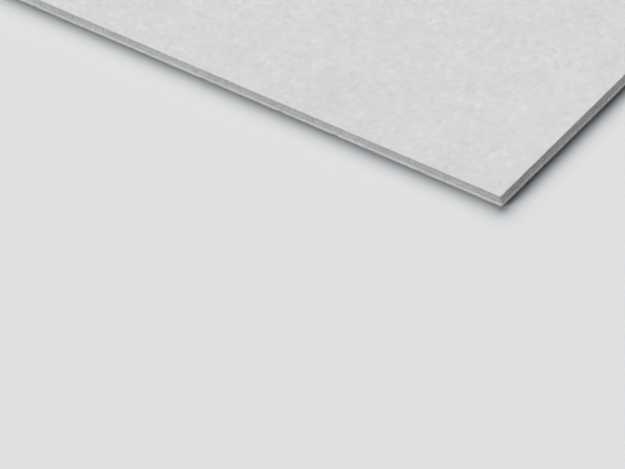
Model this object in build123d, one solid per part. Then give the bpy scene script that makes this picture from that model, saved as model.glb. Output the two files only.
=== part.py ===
from build123d import *

import os

# A magnesium oxide building board: one cast sheet, sawn square on all four sides.
# It lies flat with its smooth face up. The origin is the middle of the back face,
# X runs along the board, Y across it and Z up through its thickness.

# Driving dimensions, in millimetres
board_length = 2440.0
board_width = 1220.0
board_thickness = 8.0
corner_radius = 1.0
face_arris_radius = 0.3
back_arris_chamfer = 0.3


def sawn_sheet():
    # The plan outline with its four upright corners just broken, through the thickness
    outline = RectangleRounded(board_length, board_width, corner_radius)
    return extrude(outline, board_thickness)


def eased_sheet(sheet):
    # The smooth face's rim is worn to a small round, and the back's rim is a short bevel
    back_rim = sheet.faces().sort_by(Axis.Z)[0].edges()
    sheet = chamfer(back_rim, back_arris_chamfer)
    face_rim = sheet.faces().sort_by(Axis.Z)[-1].edges()
    return fillet(face_rim, face_arris_radius)


def write_node(name, solid):
    solid.label = name
    export_step(solid, os.path.join("parts", name + ".step"))


os.makedirs("parts", exist_ok=True)
write_node("board", eased_sheet(sawn_sheet()))
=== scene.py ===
import math

import bpy
import numpy as np
from mathutils import Matrix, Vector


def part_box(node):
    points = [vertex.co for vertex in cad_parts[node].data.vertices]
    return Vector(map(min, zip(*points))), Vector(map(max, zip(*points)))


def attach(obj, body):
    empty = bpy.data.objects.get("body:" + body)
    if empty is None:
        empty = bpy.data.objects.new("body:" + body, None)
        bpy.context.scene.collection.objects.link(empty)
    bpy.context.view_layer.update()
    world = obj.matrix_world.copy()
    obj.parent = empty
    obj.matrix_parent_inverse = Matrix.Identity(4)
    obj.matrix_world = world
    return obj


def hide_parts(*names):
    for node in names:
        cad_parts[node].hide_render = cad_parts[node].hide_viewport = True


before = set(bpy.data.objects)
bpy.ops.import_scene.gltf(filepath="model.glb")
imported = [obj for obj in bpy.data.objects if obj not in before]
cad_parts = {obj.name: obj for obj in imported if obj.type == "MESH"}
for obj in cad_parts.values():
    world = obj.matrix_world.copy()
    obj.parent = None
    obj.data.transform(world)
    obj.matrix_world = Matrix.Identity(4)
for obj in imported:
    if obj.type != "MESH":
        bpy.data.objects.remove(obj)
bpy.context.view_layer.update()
boardLow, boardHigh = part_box("board")
print("frame loaded, board", [round(high - low, 4) for low, high in zip(boardLow, boardHigh)])

# The board: its mesh

board = {
    "alongFaces": 1792,          # faces along each long edge
    "acrossFaces": 896,          # faces along each short edge
    "crowding": 0.6,             # how much finer the faces are at the corners, 0 to 1
    "halvings": 6,               # rings that each have half the faces of the one before, going in
    "cornerRadius": 0.0010,      # upright corners, metres
    "faceRound": 0.0003,         # rim of the smooth face
    "backBevel": 0.0003,         # rim of the back
    "rimWidth": 0.0024,          # finely meshed strip of each face beside its rim
    "faceRows": (1, 0.5, 0.25),  # where its rows lie on the smooth face, as parts of its width
    "backRows": (0.4, 1),        # and on the back
    "edgeRows": 7,               # faces down the sawn edge between round and bevel
    "edgeCrowding": 0.45,        # how much finer they are beside the rims
    "sharpAngle": 38,            # degrees from face to face past which the shading has a crease
    "seed": 41,
    "wanderDepth": 0.00007,      # slow and quick waver of the two rims
    "wanderLengths": (0.035, 0.0045),
    "wanderLevel": 0.9,          # at 0 half of the rim stays whole, at 2 all of it has worn
    "wanderReach": 0.0009,       # how far in from the rim it fades
    "faceChips": {"Count": 300, "HalfWidth": (0.0006, 0.0024), "Depth": (0.0001, 0.0005)},
    "backChips": {"Count": 620, "HalfWidth": (0.0006, 0.0030), "Depth": (0.0001, 0.0006)},
    "pitCount": 520,
    "pitRadius": (0.0005, 0.0013),
    "pitDepth": (0.0001, 0.0004),
    "pitMargin": 0.0012,         # how far the middle of each pit stays from the rims
    "fewWide": 3,                # power that makes wide chips rare
    "fewLarge": 2,               # the same for the depth of chips and for both sizes of pits
    # What knocks have taken at face and back, anticlockwise from the corner at -X, -Y
    "cornerKnocks": ((0.0007, 0.0005), (0.00045, 0.0003), (0.0004, 0.0008), (0.0006, 0.0003)),
    "cornerReach": 0.0022,       # how far from its corner a knock fades
    "paleSeed": 60,
    "paleLength": 0.30,          # the sawn edge is now paler, now darker, over about this length
}


def crowded(count, crowding):
    # t runs from -1 to 1 in even steps, and crowded(t) = t + crowding sin(pi t) / pi
    steps = np.linspace(-1, 1, count + 1)
    return steps + crowding * np.sin(np.pi * steps) / np.pi


def outlineWalk(alongFaces, acrossFaces, crowding):
    # Once round the square from (-1, -1), anticlockwise: four sides end to end, each crowded(t)
    along = crowded(alongFaces, crowding)
    across = crowded(acrossFaces, crowding)
    alongOnes, acrossOnes = np.ones(alongFaces), np.ones(acrossFaces)
    walkX = np.concatenate([along[:-1], acrossOnes, along[:0:-1], -acrossOnes])
    walkY = np.concatenate([-alongOnes, across[:-1], alongOnes, across[:0:-1]])
    return walkX, walkY


def ringPoints(walkX, walkY, inset):
    # The board's outline moved inwards by inset, with round corners of r = cornerRadius - inset.
    # c is the walk's point p held inside the outline less r: the ring is c + r (p - c) / |p - c|
    halfX = (boardHigh.x - boardLow.x) / 2 - inset
    halfY = (boardHigh.y - boardLow.y) / 2 - inset
    radius = max(board["cornerRadius"] - inset, 0.0)
    pointX, pointY = walkX * halfX, walkY * halfY
    coreX = np.clip(pointX, radius - halfX, halfX - radius)
    coreY = np.clip(pointY, radius - halfY, halfY - radius)
    offX, offY = pointX - coreX, pointY - coreY
    length = np.hypot(offX, offY)
    scale = np.where(length > 1e-9, radius / np.maximum(length, 1e-9), 0.0)
    return coreX + offX * scale, coreY + offY * scale


def waver(distance, whole, wavelength, random):
    # Random heights from -1 to 1 at even stations round the closed outline, joined by
    # s(f) = f f (3 - 2 f), where f is how far a point is from one station to the next
    stations = max(int(round(whole / wavelength)), 4)
    heights = random.uniform(-1, 1, stations)
    place = distance / whole * stations
    first = np.floor(place).astype(int)
    part = place - first
    blend = part * part * (3 - 2 * part)
    return heights[first % stations] * (1 - blend) + heights[(first + 1) % stations] * blend


def dents(distance, level, whole, centres, levels, halfWidths, depths):
    # The deepest of many bowls, depth * max(0, 1 - (ds / w)^2 - (dz / 0.8 w)^2), for each point
    away = np.abs(distance[:, None] - centres[None, :])
    away = np.minimum(away, whole - away) / halfWidths
    down = (level - levels) / (0.8 * halfWidths)
    bowl = np.clip(1 - away * away - (down * down)[None, :], 0, None)
    return (bowl * depths[None, :]).max(1)


def rimProfile():
    # Inset and height of each row, from the face over its round, down the sawn edge, over the
    # bevel and onto the back
    thickness = boardHigh.z - boardLow.z
    wide, roundOff, bevel = board["rimWidth"], board["faceRound"], board["backBevel"]
    bow = roundOff * (1 - math.sqrt(0.5))
    rows = [(wide * part, thickness) for part in board["faceRows"]]
    rows += [(roundOff, thickness), (bow, thickness - bow), (0.0, thickness - roundOff)]
    down = (1 + crowded(board["edgeRows"], board["edgeCrowding"])[1:]) / 2
    edge = (thickness - roundOff) * (1 - down) + bevel * down
    rows += [(0.0, height) for height in edge]
    rows += [(bevel, 0.0)] + [(wide * part, 0.0) for part in board["backRows"]]
    return np.array(rows).T


def wearWays(inset, height):
    # How far a row moves inwards and upwards for each metre lost. With n = 1 - (way to the nearer
    # rim) / rimWidth: inwards 0.8 n on the flat faces and 1 - 0.2 n on the edge, and 0.7 n away
    # from the rim, so that nothing folds over
    top = height.max()
    nearTop = np.clip(1 - (inset + top - height) / board["rimWidth"], 0, 1)
    nearBottom = np.clip(1 - (inset + height) / board["rimWidth"], 0, 1)
    near = nearTop + nearBottom
    return np.where(inset > 0, 0.8 * near, 1 - 0.2 * near), 0.7 * (nearBottom - nearTop)


def between(limits, random, count, power):
    # Random sizes low + (high - low) r^power, most of them near the lower limit
    return limits[0] + (limits[1] - limits[0]) * random.random(count) ** power


def rimWear(distance, whole, inset, height, random):
    # What each point of the rim band has lost, in metres: waver at both rims, chips out of the
    # rims and pits in the sawn edge
    top = height.max()
    fromTop, fromBottom = inset + top - height, inset + height
    loss = np.zeros((len(distance), len(height)))
    for far in (fromTop, fromBottom):
        slow, quick = (waver(distance, whole, length, random) for length in board["wanderLengths"])
        wander = np.clip(board["wanderLevel"] + slow + quick, 0, None) * board["wanderDepth"]
        loss += np.outer(wander, np.exp(-(far / board["wanderReach"]) ** 2))
    for far, chips in ((fromTop, board["faceChips"]), (fromBottom, board["backChips"])):
        count = chips["Count"]
        centres = random.uniform(0, whole, count)
        widths = between(chips["HalfWidth"], random, count, board["fewWide"])
        depths = between(chips["Depth"], random, count, board["fewLarge"])
        for row, away in enumerate(far):
            loss[:, row] += dents(distance, away, whole, centres, np.zeros(count), widths, depths)
    pits = board["pitCount"]
    centres = random.uniform(0, whole, pits)
    levels = random.uniform(board["pitMargin"], top - board["pitMargin"], pits)
    widths = between(board["pitRadius"], random, pits, board["fewLarge"])
    depths = between(board["pitDepth"], random, pits, board["fewLarge"])
    for row in np.flatnonzero(inset == 0):
        loss[:, row] += dents(distance, height[row], whole, centres, levels, widths, depths)
    return loss


def cornerLoss(outX, outY, height):
    # What knocks have taken from the corners, (face p^2 + back (1 - p)^2) exp(-(d / reach)^2) for a
    # point d from its corner, at the part p of the height
    fromCorner = np.hypot(boardHigh.x - np.abs(outX), boardHigh.y - np.abs(outY))
    fading = np.exp(-(fromCorner / board["cornerReach"]) ** 2)
    corner = np.where(outY < 0, np.where(outX < 0, 0, 1), np.where(outX > 0, 2, 3))
    knocks = np.array(board["cornerKnocks"])[corner] * fading[:, None]
    part = height / height.max()
    return knocks @ np.stack([part ** 2, (1 - part) ** 2])


def ringStrip(outer, inner):
    # Quads between two rings of as many points, outer ring first, seen from outside
    return np.stack([outer, np.roll(outer, -1), np.roll(inner, -1), inner], 1)


def halvingStrip(outer, inner):
    # Three triangles for each point of an inner ring that has half the outer ring's points
    even, odd, nextEven = outer[0::2], outer[1::2], np.roll(outer[0::2], -1)
    nextInner = np.roll(inner, -1)
    return np.concatenate([
        np.stack([even, odd, inner], 1),
        np.stack([odd, nextInner, inner], 1),
        np.stack([odd, nextEven, nextInner], 1),
    ])


def faceFill(ring, height, start):
    # One flat face inside a ring: halving rings whose inset doubles, then a grid of
    # crowded(u) by crowded(v). Gives its new points, triangles and quads
    points, triangles = [], []
    along, across = board["alongFaces"], board["acrossFaces"]
    inset = board["rimWidth"]
    outer = ring
    for _ in range(board["halvings"]):
        along, across, inset = along // 2, across // 2, inset * 2
        walkX, walkY = outlineWalk(along, across, board["crowding"])
        ringX, ringY = ringPoints(walkX, walkY, inset)
        inner = start + np.arange(len(ringX))
        points.append(np.stack([ringX, ringY, np.full(len(ringX), height)], 1))
        triangles.append(halvingStrip(outer, inner))
        outer, start = inner, start + len(ringX)
    gridX = crowded(along, board["crowding"]) * (boardHigh.x - inset)
    gridY = crowded(across, board["crowding"]) * (boardHigh.y - inset)
    innerX, innerY = np.meshgrid(gridX[1:-1], gridY[1:-1], indexing="ij")
    points.append(np.stack([innerX.ravel(), innerY.ravel(), np.full(innerX.size, height)], 1))
    grid = np.empty((along + 1, across + 1), int)
    grid[1:-1, 1:-1] = start + np.arange(innerX.size).reshape(innerX.shape)
    grid[:-1, 0] = outer[:along]
    grid[-1, :-1] = outer[along:along + across]
    grid[:0:-1, -1] = outer[along + across:2 * along + across]
    grid[0, :0:-1] = outer[2 * along + across:]
    quads = np.stack([grid[:-1, :-1], grid[1:, :-1], grid[1:, 1:], grid[:-1, 1:]], 2).reshape(-1, 4)
    return np.concatenate(points), np.concatenate(triangles), quads


bakeMap = {
    "name": "OFBake",            # name of the board's square map; the export bakes the finishes through a map of this name
    "edgeShare": 0.12,           # how much of the square the sawn edge has, made high for its bands
    "edgeParts": 6,              # equal lengths that the sawn edge is cut into
    "gap": 0.001,                # left clear round each part
}


def boardMap(points, corners, back, distance, whole, inset, height, first, last):
    # Where each face corner lies on a square: the smooth face at the top, the back under it, both
    # seen from outside, and below them the lengths of the sawn edge pulled straight, with u the
    # part of the way along each and v the part of the way up its profile, rows first to last
    gap, parts = bakeMap["gap"], bakeMap["edgeParts"]
    rowShare = bakeMap["edgeShare"] / parts
    faceShare = (1 - bakeMap["edgeShare"]) / 2
    partX = (points[corners, 0] - boardLow.x) / (boardHigh.x - boardLow.x)
    partY = (points[corners, 1] - boardLow.y) / (boardHigh.y - boardLow.y)
    u = gap + (1 - 2 * gap) * np.where(back, 1 - partX, partX)
    v = 1 - faceShare * (1 + back) + gap + (faceShare - 2 * gap) * partY
    places = np.stack([u, v], 1)
    count = len(distance)
    each = count // parts
    part = np.arange(count) // each
    ends = np.append(distance, whole)
    start, stop = ends[part * each], ends[(part + 1) * each]
    left = gap + (1 - 2 * gap) * (ends[:-1] - start) / (stop - start)
    right = gap + (1 - 2 * gap) * (ends[1:] - start) / (stop - start)
    profile = np.concatenate([[0], np.cumsum(np.hypot(np.diff(inset), np.diff(height)))])
    profile = (profile - profile[first]) / (profile[last] - profile[first])
    for row in range(first, last):
        upper, lower = ((1 - profile[row + step]) * (rowShare - 2 * gap) + gap + part * rowShare
                        for step in (0, 1))
        strip = np.stack([left, lower, right, lower, right, upper, left, upper], 1)
        places[4 * count * row:4 * count * (row + 1)] = strip.reshape(-1, 2)
    return places


faceSlot, edgeSlot, backSlot = range(3)      # the order in which the finishes are added


def boardMesh():
    # The rim band is rimProfile carried along the outline, less what rimWear and cornerLoss take,
    # and faceFill closes both faces
    random = np.random.default_rng(board["seed"])
    walkX, walkY = outlineWalk(board["alongFaces"], board["acrossFaces"], board["crowding"])
    outX, outY = ringPoints(walkX, walkY, 0.0)
    steps = np.hypot(np.roll(outX, -1) - outX, np.roll(outY, -1) - outY)
    whole = steps.sum()
    distance = np.concatenate([[0.0], np.cumsum(steps)[:-1]])
    inset, height = rimProfile()
    loss = rimWear(distance, whole, inset, height, random) + cornerLoss(outX, outY, height)
    inwards, upwards = wearWays(inset, height)
    coreX, coreY = ringPoints(walkX, walkY, board["cornerRadius"])
    normalX, normalY = outX - coreX, outY - coreY
    length = np.maximum(np.hypot(normalX, normalY), 1e-9)
    normalX, normalY = normalX / length, normalY / length
    rows = []
    for row in range(len(inset)):
        ringX, ringY = ringPoints(walkX, walkY, inset[row])
        ringX = ringX - normalX * loss[:, row] * inwards[row]
        ringY = ringY - normalY * loss[:, row] * inwards[row]
        rows.append(np.stack([ringX, ringY, height[row] + loss[:, row] * upwards[row]], 1))
    band = np.concatenate(rows)
    count = len(walkX)
    rings = np.arange(len(band)).reshape(len(rows), count)
    faceRing, backRing = rings[0], rings[-1]
    strips = [ringStrip(rings[row + 1], rings[row]) for row in range(len(rows) - 1)]
    facePoints, faceTriangles, faceQuads = faceFill(faceRing, height[0], len(band))
    backStart = len(band) + len(facePoints)
    backPoints, backTriangles, backQuads = faceFill(backRing, 0.0, backStart)
    points = np.concatenate([band, facePoints, backPoints])
    quads = np.concatenate(strips + [faceQuads, backQuads[:, ::-1]])
    triangles = np.concatenate([faceTriangles, backTriangles[:, ::-1]])
    first, last = len(board["faceRows"]), len(strips) - len(board["backRows"])
    kinds = [faceSlot] * first + [edgeSlot] * (last - first) + [backSlot] * (len(strips) - last)
    kinds += [faceSlot, backSlot] * 2
    blocks = strips + [faceQuads, backQuads, faceTriangles, backTriangles]
    slots = np.repeat(kinds, [len(block) for block in blocks]).astype(np.int32)
    corners = np.concatenate([quads.ravel(), triangles.ravel()]).astype(np.int32)
    sizes = np.concatenate([np.full(len(quads), 4), np.full(len(triangles), 3)]).astype(np.int32)
    back = np.repeat(slots == backSlot, sizes)
    places = boardMap(points, corners, back, distance, whole, inset, height, first, last)
    paleRandom = np.random.default_rng(board["paleSeed"])
    pale = waver(distance, whole, board["paleLength"], paleRandom)
    values = {name: np.zeros(len(points), np.float32) for name in ("lost", "walk", "pale")}
    values["lost"][:len(band)] = (loss * (inwards > 0)).T.ravel()
    values["lost"] *= 1000                                        # millimetres
    values["walk"][:len(band)] = np.tile(distance, len(rows))     # metres round the outline
    values["pale"][:len(band)] = np.tile(pale, len(rows))         # from -1 to 1
    return points, corners, sizes, slots, places, values


def meshFrom(name, points, corners, sizes, slots, places, values):
    mesh = bpy.data.meshes.new(name)
    mesh.vertices.add(len(points))
    mesh.vertices.foreach_set("co", points.astype(np.float32).ravel())
    mesh.loops.add(len(corners))
    mesh.loops.foreach_set("vertex_index", corners)
    mesh.polygons.add(len(sizes))
    starts = np.concatenate([[0], np.cumsum(sizes)[:-1]]).astype(np.int32)
    mesh.polygons.foreach_set("loop_start", starts)
    mesh.polygons.foreach_set("material_index", slots)
    mesh.update(calc_edges=True)
    for label, numbers in values.items():
        mesh.attributes.new(label, "FLOAT", "POINT").data.foreach_set("value", numbers)
    places = places.astype(np.float32).ravel()
    mesh.uv_layers.new(name=bakeMap["name"]).uv.foreach_set("vector", places)
    mesh.polygons.foreach_set("use_smooth", np.ones(len(sizes), bool))
    mesh.set_sharp_from_angle(angle=math.radians(board["sharpAngle"]))
    mesh.validate()
    piece = bpy.data.objects.new(name, mesh)
    bpy.context.scene.collection.objects.link(piece)
    return piece


sheet = meshFrom("castSheet", *boardMesh())
print("board meshed,", sum(len(face.vertices) - 2 for face in sheet.data.polygons), "triangles")

# Materials: shared effects first, then one finish for each kind of surface


def addNode(tree, kind, settings=None, inputs=None):
    # A node with its settings, and its sockets filled with values or joined to other sockets
    node = tree.nodes.new(kind)
    for name, value in (settings or {}).items():
        setattr(node, name, value)
    for key, value in (inputs or {}).items():
        if isinstance(value, bpy.types.NodeSocket):
            tree.links.new(value, node.inputs[key])
        else:
            node.inputs[key].default_value = value
    return node


def maths(tree, operation, *values):
    inputs = dict(enumerate(values))
    return addNode(tree, "ShaderNodeMath", {"operation": operation}, inputs).outputs[0]


def vectors(tree, operation, inputs):
    return addNode(tree, "ShaderNodeVectorMath", {"operation": operation}, inputs).outputs[0]


def joined(tree, operation, values):
    # The values added or multiplied together
    total = values[0]
    for value in values[1:]:
        total = maths(tree, operation, total, value)
    return total


def blendColours(tree, factor, first, second):
    mix = addNode(tree, "ShaderNodeMix", {"data_type": "RGBA"}, {0: factor, 6: first, 7: second})
    return mix.outputs[2]


def eased(tree, value, low, high):
    # 0 below low, 1 above high, smooth between; low may be the larger one
    settings = {"interpolation_type": "SMOOTHSTEP"}
    inputs = {"Value": value, "From Min": low, "From Max": high}
    return addNode(tree, "ShaderNodeMapRange", settings, inputs).outputs[0]


def noise(tree, place, scale, detail=2.0):
    # Even noise less its middle, so that it runs about 0
    inputs = {"Vector": place, "Scale": scale, "Detail": detail, "Roughness": 0.55}
    value = addNode(tree, "ShaderNodeTexNoise", None, inputs).outputs[0]
    return maths(tree, "SUBTRACT", value, 0.5)


def cells(tree, place, scale):
    # Scattered points: how far the nearest one is, and three random numbers that belong to it
    nearest = addNode(tree, "ShaderNodeTexVoronoi", None, {"Vector": place, "Scale": scale}).outputs
    chance = addNode(tree, "ShaderNodeSeparateColor", None, {0: nearest["Color"]}).outputs
    return nearest["Distance"], chance


def objectPlace(tree):
    return addNode(tree, "ShaderNodeTexCoord").outputs["Object"]


def newGroup(name, inputs, outputs):
    # An empty shader group with named float inputs and outputs
    group = bpy.data.node_groups.new(name, "ShaderNodeTree")
    for label, value in inputs.items():
        socket = group.interface.new_socket(label, in_out="INPUT", socket_type="NodeSocketFloat")
        socket.default_value = value
    for label in outputs:
        group.interface.new_socket(label, in_out="OUTPUT", socket_type="NodeSocketFloat")
    given = group.nodes.new("NodeGroupInput").outputs
    out = group.nodes.new("NodeGroupOutput").inputs
    return group, given, out


def useGroup(tree, group, inputs):
    return addNode(tree, "ShaderNodeGroup", {"node_tree": group}, inputs).outputs


def makeMottle():
    # Cloudy tone round 1: Tone = 1 + Depth (Fine f + 1.2 s + c) and Height = Relief (f + s), where
    # f, s and c are noise about 0 with 1, 0.3 and 0.03 waves to a Size
    inputs = {"Size": 0.003, "Fine": 2.0, "Depth": 0.1, "Relief": 0.00001}
    group, given, out = newGroup("mottle", inputs, ("Tone", "Height"))
    place = objectPlace(group)
    scale = maths(group, "DIVIDE", 1.0, given["Size"])
    fine = noise(group, place, scale)
    soft = noise(group, place, maths(group, "MULTIPLY", scale, 0.3))
    cloud = noise(group, place, maths(group, "MULTIPLY", scale, 0.03), 3.0)
    sharp = maths(group, "MULTIPLY", fine, given["Fine"])
    clouds = joined(group, "ADD", [sharp, maths(group, "MULTIPLY", soft, 1.2), cloud])
    tone = maths(group, "MULTIPLY_ADD", clouds, given["Depth"], 1.0)
    height = maths(group, "MULTIPLY", maths(group, "ADD", fine, soft), given["Relief"])
    group.links.new(tone, out["Tone"])
    group.links.new(height, out["Height"])
    return group


def makeGrain():
    # Fine even sandiness: Tone = 1 + Depth n, Height = Relief n, where n is noise about 0
    inputs = {"Size": 0.0006, "Depth": 0.1, "Relief": 0.00001}
    group, given, out = newGroup("grain", inputs, ("Tone", "Height"))
    sand = noise(group, objectPlace(group), maths(group, "DIVIDE", 1.0, given["Size"]), 1.0)
    group.links.new(maths(group, "MULTIPLY_ADD", sand, given["Depth"], 1.0), out["Tone"])
    group.links.new(maths(group, "MULTIPLY", sand, given["Relief"]), out["Height"])
    return group


def makeFlecks():
    # Soft blots in a share of the cells, every other one light: Tone = 1 + blot (Light or -Dark).
    # A blot reaches 0.35 to 0.7 of a cell. The cells are sought from a place pushed about by noise
    # with 1.6 waves to a cell, which makes the blots uneven
    inputs = {"Size": 0.004, "Share": 0.3, "Light": 0.03, "Dark": 0.03}
    group, given, out = newGroup("flecks", inputs, ("Tone",))
    place = objectPlace(group)
    scale = maths(group, "DIVIDE", 1.0, given["Size"])
    inputs = {"Vector": place, "Scale": maths(group, "MULTIPLY", scale, 1.6), "Detail": 1.0}
    push = addNode(group, "ShaderNodeTexNoise", None, inputs).outputs["Color"]
    push = vectors(group, "SCALE", {0: push, "Scale": given["Size"]})
    away, chance = cells(group, vectors(group, "ADD", {0: place, 1: push}), scale)
    reach = maths(group, "MULTIPLY_ADD", chance[2], 0.35, 0.35)
    blot = eased(group, maths(group, "DIVIDE", away, reach), 1.0, 0.0)
    held = maths(group, "LESS_THAN", chance[0], given["Share"])
    light = maths(group, "MULTIPLY", maths(group, "LESS_THAN", chance[1], 0.5), given["Light"])
    dark = maths(group, "MULTIPLY", maths(group, "GREATER_THAN", chance[1], 0.5), given["Dark"])
    change = joined(group, "MULTIPLY", [blot, held, maths(group, "SUBTRACT", light, dark)])
    group.links.new(maths(group, "ADD", change, 1.0), out["Tone"])
    return group


def makePits():
    # Round pits in a share of the cells, 0.06 to 0.18 of a cell in radius, with a flat floor half
    # as wide: Tone = 1 - Dark pit, painted shade in the hollow, and Height = -Relief pit
    inputs = {"Size": 0.004, "Share": 0.3, "Dark": 0.3, "Relief": 0.0002}
    group, given, out = newGroup("pits", inputs, ("Tone", "Height"))
    scale = maths(group, "DIVIDE", 1.0, given["Size"])
    away, chance = cells(group, objectPlace(group), scale)
    reach = maths(group, "MULTIPLY_ADD", chance[2], 0.12, 0.06)
    pit = eased(group, maths(group, "DIVIDE", away, reach), 1.0, 0.5)
    pit = maths(group, "MULTIPLY", pit, maths(group, "LESS_THAN", chance[0], given["Share"]))
    # painted shade: the hollow of each pit darkened in colour
    shade = maths(group, "MULTIPLY", pit, given["Dark"])
    group.links.new(maths(group, "SUBTRACT", 1.0, shade), out["Tone"])
    depth = maths(group, "MULTIPLY", pit, given["Relief"])
    group.links.new(maths(group, "MULTIPLY", depth, -1.0), out["Height"])
    return group


def makeWear():
    # Fresh pale material where the rim has lost some: Tone = 1 + Amount worn, and worn goes from 0
    # to 1 between the millimetres Least and Most
    inputs = {"Lost": 0.0, "Least": 0.1, "Most": 0.4, "Amount": 0.1}
    group, given, out = newGroup("wear", inputs, ("Tone",))
    worn = eased(group, given["Lost"], given["Least"], given["Most"])
    group.links.new(maths(group, "MULTIPLY_ADD", worn, given["Amount"], 1.0), out["Tone"])
    return group


mottle, grain, flecks, pits, wear = makeMottle(), makeGrain(), makeFlecks(), makePits(), makeWear()


def newMaterial(name, roughness, gloss):
    material = bpy.data.materials.new(name)
    material.use_nodes = True
    tree = material.node_tree
    shader = tree.nodes["Principled BSDF"]
    shader.inputs["Roughness"].default_value = roughness
    shader.inputs["Specular IOR Level"].default_value = gloss
    return material, tree, shader


palest = (0.82, 0.82, 0.81)      # the dry mineral itself: nothing on the board is paler


def finish(tree, shader, colour, tones, heights):
    # Base colour is the colour times all the tones, but never above the palest, and the relief is
    # all the heights added, in metres
    shade = vectors(tree, "SCALE", {0: colour, "Scale": joined(tree, "MULTIPLY", tones)})
    shade = vectors(tree, "MINIMUM", {0: shade, 1: palest})
    tree.links.new(shade, shader.inputs["Base Color"])
    inputs = {"Distance": 1.0, "Height": joined(tree, "ADD", heights)}
    bump = addNode(tree, "ShaderNodeBump", None, inputs)
    tree.links.new(bump.outputs[0], shader.inputs["Normal"])


def attribute(tree, name):
    return addNode(tree, "ShaderNodeAttribute", {"attribute_name": name}).outputs["Fac"]


faceFinish = {
    "colour": (0.672, 0.672, 0.672),
    "roughness": 0.82,
    "gloss": 0.25,
    "mottle": {"Size": 0.0044, "Fine": 2.2, "Depth": 0.09, "Relief": 0.00003},
    "grain": {"Size": 0.0006, "Depth": 0.14, "Relief": 0.00003},
    "flecks": {"Size": 0.0062, "Share": 0.7, "Light": 0.060, "Dark": 0.060},
    # the pits' Dark is painted shade in their hollows
    "pits": {"Size": 0.0052, "Share": 0.10, "Dark": 0.12, "Relief": 0.00010},
    "wear": {"Least": 0.05, "Most": 0.35, "Amount": 0.05},
}


def makeFace():
    material, tree, shader = newMaterial("castFace", faceFinish["roughness"], faceFinish["gloss"])
    clouds = useGroup(tree, mottle, faceFinish["mottle"])
    sand = useGroup(tree, grain, faceFinish["grain"])
    spots = useGroup(tree, flecks, faceFinish["flecks"])
    holes = useGroup(tree, pits, faceFinish["pits"])
    rim = useGroup(tree, wear, {"Lost": attribute(tree, "lost"), **faceFinish["wear"]})
    tones = [clouds["Tone"], sand["Tone"], spots["Tone"], holes["Tone"], rim["Tone"]]
    heights = [clouds["Height"], sand["Height"], holes["Height"]]
    finish(tree, shader, faceFinish["colour"], tones, heights)
    return material


edgeFinish = {
    "skin": (0.510, 0.517, 0.513, 1),      # just under the face
    "middle": (0.550, 0.557, 0.553, 1),
    "lower": (0.785, 0.790, 0.785, 1),
    "skinHeights": (0.0045, 0.0078),       # where middle ends and skin begins
    "bandHeight": 0.0028,
    "bandWaver": 0.0016,
    "bandEdge": 0.0004,
    "bandRoughness": 0.0018,               # how far the streaks break up the band's upper side
    "roughness": 0.9,
    "gloss": 0.2,
    "streakLength": 0.030,                 # layers of the cast, seen along the edge
    "streakHeight": 0.0011,
    "streakDepth": 0.45,
    "sawPitch": 0.0011,                    # marks of the blade, leaning along the edge
    "sawHeight": 0.011,
    "sawLean": 0.4,
    "sawDepth": 0.28,
    "sawRelief": 0.00006,
    "endPitch": 0.0007,                    # finer, deeper marks across the two short ends
    "endHeight": 0.0024,
    "endDepth": 1.35,
    "endPaintedShade": 0.90,                      # their upper part is darker, painted shade
    "endReach": (0.0025, 0.0005),          # where their look begins and is whole, in from the end
    "mottle": {"Size": 0.0010, "Fine": 2.6, "Depth": 0.42, "Relief": 0.0004},
    # the pits' Dark is painted shade in their hollows
    "pits": {"Size": 0.0030, "Share": 0.45, "Dark": 0.30, "Relief": 0.0003},
    "paleDepth": 0.08,                     # of the slow change set by paleLength
    "wear": {"Least": 0.1, "Most": 0.45, "Amount": 0.10},
}


def stretched(tree, along, length, up, height):
    # A place for patterns that are this long along the outline and this high
    parts = {0: maths(tree, "DIVIDE", along, length), 1: maths(tree, "DIVIDE", up, height)}
    return addNode(tree, "ShaderNodeCombineXYZ", None, parts).outputs[0]


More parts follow.
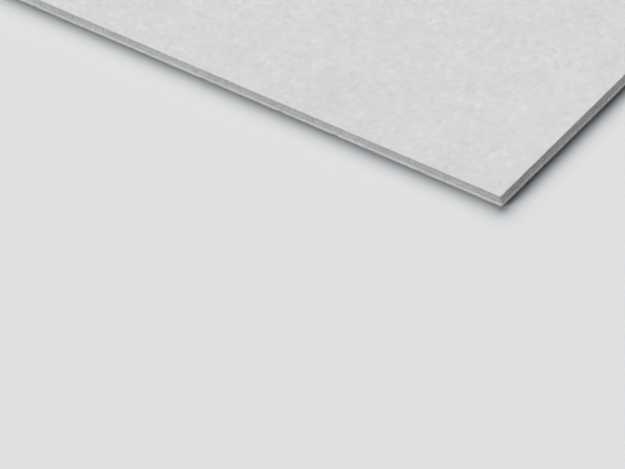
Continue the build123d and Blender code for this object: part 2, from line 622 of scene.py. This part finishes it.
def makeEdge():
    # Two bands down the height, streaks along the outline, and grain, pits and wear over both;
    # painted shade in the pits and on the upper part of the two short ends
    material, tree, shader = newMaterial("sawnEdge", edgeFinish["roughness"], edgeFinish["gloss"])
    parts = addNode(tree, "ShaderNodeSeparateXYZ", None, {0: objectPlace(tree)}).outputs
    up = parts["Z"]
    walk = attribute(tree, "walk")
    leaning = maths(tree, "MULTIPLY_ADD", up, edgeFinish["sawLean"], walk)
    streakPlace = stretched(tree, walk, edgeFinish["streakLength"], up, edgeFinish["streakHeight"])
    sawPlace = stretched(tree, leaning, edgeFinish["sawPitch"], up, edgeFinish["sawHeight"])
    endPlace = stretched(tree, leaning, edgeFinish["endPitch"], up, edgeFinish["endHeight"])
    driftPlace = stretched(tree, walk, edgeFinish["streakLength"], 0.0, 1.0)
    streak = noise(tree, streakPlace, 1.0, 3.0)
    blade = noise(tree, sawPlace, 1.0)
    endStart, endWhole = (boardHigh.x - way for way in edgeFinish["endReach"])
    atEnd = eased(tree, maths(tree, "ABSOLUTE", parts["X"]), endStart, endWhole)
    crossCut = maths(tree, "MULTIPLY", noise(tree, endPlace, 1.0), atEnd)
    drift = maths(tree, "MULTIPLY", noise(tree, driftPlace, 1.0, 3.0), edgeFinish["bandWaver"])
    torn = maths(tree, "MULTIPLY", streak, edgeFinish["bandRoughness"])
    middle, soft = edgeFinish["bandHeight"], edgeFinish["bandEdge"]
    level = joined(tree, "ADD", [up, drift, torn])
    band = eased(tree, level, middle - soft, middle + soft)
    skin = eased(tree, level, *edgeFinish["skinHeights"])
    colour = blendColours(tree, skin, edgeFinish["middle"], edgeFinish["skin"])
    colour = blendColours(tree, band, edgeFinish["lower"], colour)
    mineral = useGroup(tree, mottle, edgeFinish["mottle"])
    holes = useGroup(tree, pits, edgeFinish["pits"])
    rim = useGroup(tree, wear, {"Lost": attribute(tree, "lost"), **edgeFinish["wear"]})
    streaked = maths(tree, "MULTIPLY_ADD", streak, edgeFinish["streakDepth"], 1.0)
    sawn = maths(tree, "MULTIPLY_ADD", blade, edgeFinish["sawDepth"], 1.0)
    ends = maths(tree, "MULTIPLY_ADD", crossCut, edgeFinish["endDepth"], 1.0)
    endBand = maths(tree, "MULTIPLY", atEnd, band)
    # painted shade: the upper part of the two short ends darkened in colour
    shade = maths(tree, "MULTIPLY_ADD", endBand, edgeFinish["endPaintedShade"] - 1, 1.0)
    pale = maths(tree, "MULTIPLY_ADD", attribute(tree, "pale"), edgeFinish["paleDepth"], 1.0)
    tones = [pale, streaked, sawn, ends, shade, mineral["Tone"], holes["Tone"], rim["Tone"]]
    marks = maths(tree, "MULTIPLY", blade, edgeFinish["sawRelief"])
    finish(tree, shader, colour, tones, [mineral["Height"], holes["Height"], marks])
    return material


backFinish = {
    "colour": (0.60, 0.60, 0.59),
    "roughness": 0.92,
    "gloss": 0.15,
    "mottle": {"Size": 0.0034, "Fine": 1.8, "Depth": 0.13, "Relief": 0.00025},
    "grain": {"Size": 0.0009, "Depth": 0.25, "Relief": 0.00006},
    "flecks": {"Size": 0.009, "Share": 0.5, "Light": 0.05, "Dark": 0.06},
    # the pits' Dark is painted shade in their hollows
    "pits": {"Size": 0.0052, "Share": 0.3, "Dark": 0.16, "Relief": 0.00015},
    "threadPitch": 0.005,
    "threadSharpness": 16.0,
    "threadHeight": 0.00007,
    "threadWaver": 0.0016,
    "threadBends": 12.0,                   # waves to a metre
    "threadPatch": 0.030,                  # about how large the places are where the net shows
    "patchEdge": 0.15,                     # how softly they fade
}


def makeBack():
    # Rough, with the faint print of a square net: |cos(pi x / pitch)|^sharpness along each thread
    material, tree, shader = newMaterial("roughBack", backFinish["roughness"], backFinish["gloss"])
    clouds = useGroup(tree, mottle, backFinish["mottle"])
    sand = useGroup(tree, grain, backFinish["grain"])
    spots = useGroup(tree, flecks, backFinish["flecks"])
    holes = useGroup(tree, pits, backFinish["pits"])
    place = objectPlace(tree)
    parts = addNode(tree, "ShaderNodeSeparateXYZ", None, {0: place}).outputs
    waves = noise(tree, place, backFinish["threadBends"])
    bend = maths(tree, "MULTIPLY", waves, backFinish["threadWaver"])
    threads = []
    for part in (parts["X"], parts["Y"]):
        bent = maths(tree, "ADD", part, bend)
        turn = maths(tree, "MULTIPLY", bent, math.pi / backFinish["threadPitch"])
        ridge = maths(tree, "ABSOLUTE", maths(tree, "COSINE", turn))
        ridge = maths(tree, "POWER", ridge, backFinish["threadSharpness"])
        threads.append(maths(tree, "MULTIPLY", ridge, backFinish["threadHeight"]))
    soft = backFinish["patchEdge"]
    shown = eased(tree, noise(tree, place, 1 / backFinish["threadPatch"]), -soft, soft)
    net = maths(tree, "MULTIPLY", maths(tree, "MAXIMUM", *threads), shown)
    tones = [clouds["Tone"], sand["Tone"], spots["Tone"], holes["Tone"]]
    heights = [clouds["Height"], sand["Height"], holes["Height"], net]
    finish(tree, shader, backFinish["colour"], tones, heights)
    return material


for material in (makeFace(), makeEdge(), makeBack()):
    sheet.data.materials.append(material)
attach(sheet, "root")
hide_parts("board")
print("board finished")

# Floor, light and camera

studio = {
    "floorHalf": 60.0,
    "floorDrop": 0.0009,               # the board rests on a few high spots
    "floorColour": (0.76, 0.76, 0.76, 1),
    "floorRoughness": 0.9,
    "floorGloss": 0.1,
    "backdropColour": (0.80, 0.80, 0.80, 1),
}

# Where each comes from, in degrees anticlockwise from +X, its height and spread in degrees, its
# strength and its colour
lamps = {
    "window": (136, 44, 52, 3.45, (1.0, 0.928, 0.884)),
    "roofLight": (137, 71, 24, 0.32, (0.10, 0.63, 1.0)),
    "paleCurtain": (244, 24, 24, 1.36, (1.0, 1.0, 1.0)),
    "paleWall": (351, 6, 24, 0.70, (0.97, 1.0, 0.92)),
}

camera = {
    "turn": -46.42,                # degrees from +Y towards +X
    "tilt": 42.10,                 # degrees below the horizon
    "roll": -10.85,
    "reach": 1.875,                # metres to the near corner of the face
    "cornerPixel": (500.50, 197.13),
    "imageSize": (625, 469),
    "focalPixels": 3257.0,
    "sensor": 36.0,
    "clip": (0.05, 200.0),
}


def makeFloor():
    half, drop = studio["floorHalf"], studio["floorDrop"]
    square = [(-half, -half), (half, -half), (half, half), (-half, half)]
    mesh = bpy.data.meshes.new("floor")
    mesh.from_pydata([(x, y, -drop) for x, y in square], [], [(0, 1, 2, 3)])
    floor = bpy.data.objects.new("floor", mesh)
    bpy.context.scene.collection.objects.link(floor)
    material, _, shader = newMaterial("paleFloor", studio["floorRoughness"], studio["floorGloss"])
    shader.inputs["Base Color"].default_value = studio["floorColour"]
    mesh.materials.append(material)


def makeLamps():
    for name, (bearing, height, spread, strength, colour) in lamps.items():
        lamp = bpy.data.lights.new(name, "SUN")
        lamp.energy, lamp.color, lamp.angle = strength, colour, math.radians(spread)
        holder = bpy.data.objects.new(name, lamp)
        holder.rotation_euler = (math.radians(90 - height), 0, math.radians(bearing + 90))
        bpy.context.scene.collection.objects.link(holder)


def makeWorld():
    # A plain backdrop that the camera and mirrors see, and that gives no light
    world = bpy.data.worlds.new("studioAir")
    world.use_nodes = True
    tree = world.node_tree
    background = tree.nodes["Background"]
    path = addNode(tree, "ShaderNodeLightPath").outputs
    seen = maths(tree, "MAXIMUM", path["Is Camera Ray"], path["Is Glossy Ray"])
    seen = maths(tree, "MAXIMUM", seen, path["Is Transmission Ray"])
    colour = blendColours(tree, seen, (0, 0, 0, 1), studio["backdropColour"])
    tree.links.new(colour, background.inputs["Color"])
    bpy.context.scene.world = world


def makeCamera():
    # Looks along f, with s to the right and u up, and stands so that the near corner of the
    # face falls on its pixel: stand = corner - reach (focal f + px s - py u) / |...|
    turn, tilt, roll = (math.radians(camera[name]) for name in ("turn", "tilt", "roll"))
    flat = math.cos(tilt)
    ahead = np.array([math.sin(turn) * flat, math.cos(turn) * flat, -math.sin(tilt)])
    level = np.array([math.cos(turn), -math.sin(turn), 0.0])
    upright = np.cross(level, ahead)
    side = math.cos(roll) * level + math.sin(roll) * upright
    top = math.cos(roll) * upright - math.sin(roll) * level
    width, height = camera["imageSize"]
    cornerX, cornerY = camera["cornerPixel"]
    pixelX, pixelY = cornerX - width / 2, cornerY - height / 2
    ray = camera["focalPixels"] * ahead + pixelX * side - pixelY * top
    corner = np.array([boardHigh.x, boardLow.y, boardHigh.z])
    stand = corner - camera["reach"] * ray / np.linalg.norm(ray)
    lens = bpy.data.cameras.new("camera")
    lens.sensor_width = camera["sensor"]
    lens.lens = camera["focalPixels"] / width * camera["sensor"]
    lens.clip_start, lens.clip_end = camera["clip"]
    holder = bpy.data.objects.new("camera", lens)
    columns = np.stack([side, top, -ahead, stand], 1)
    holder.matrix_world = Matrix([*columns.tolist(), [0, 0, 0, 1]])
    bpy.context.scene.collection.objects.link(holder)
    bpy.context.scene.camera = holder


makeFloor()
makeLamps()
makeWorld()
makeCamera()
bpy.context.scene.view_settings.view_transform = "Standard"
print("studio set")
